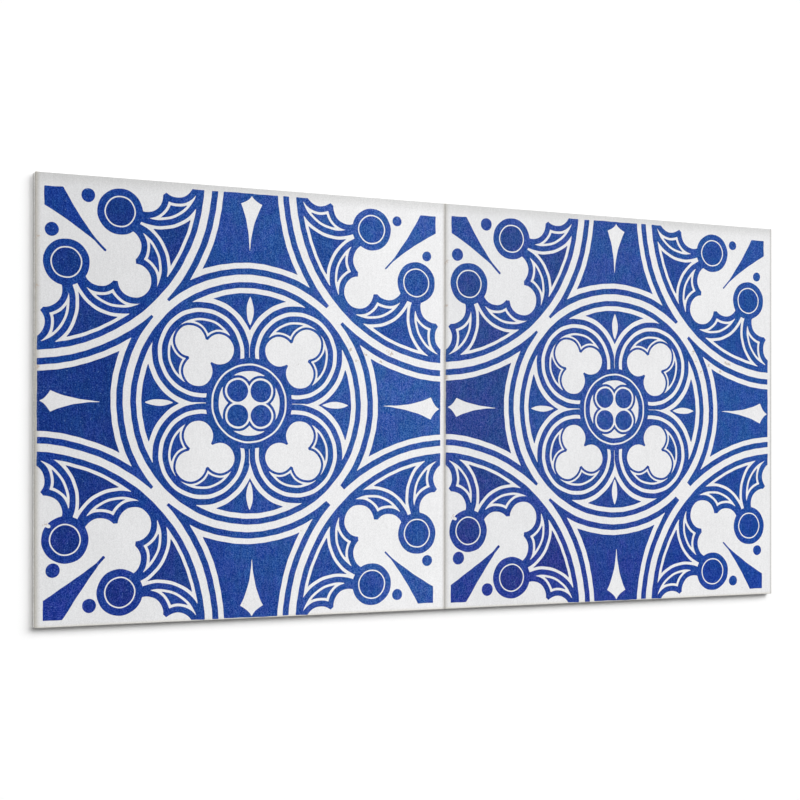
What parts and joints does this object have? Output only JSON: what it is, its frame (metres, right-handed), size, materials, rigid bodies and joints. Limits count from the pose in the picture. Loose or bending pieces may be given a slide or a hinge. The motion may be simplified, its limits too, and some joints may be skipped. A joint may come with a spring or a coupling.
{
  "type": "peel and stick wall panel",
  "caption": "Flat rectangular self-adhesive wall panel with square tile fields, a shallow joint between them and a blue tracery print on white, for covering a wall without grout",
  "frame": {"origin": "middle of the flat adhesive back, which lies on the floor", "axes": "X along the length across both tile fields, Y up the print, Z out of the printed front face"},
  "size_m": [0.6, 0.3, 0.005],
  "materials": {
    "printed_pvc": "satin white PVC with a cobalt-blue tile print"
  },
  "bodies": {
    "root": {"wall_panel": "printed_pvc"}
  },
  "joints": []
}
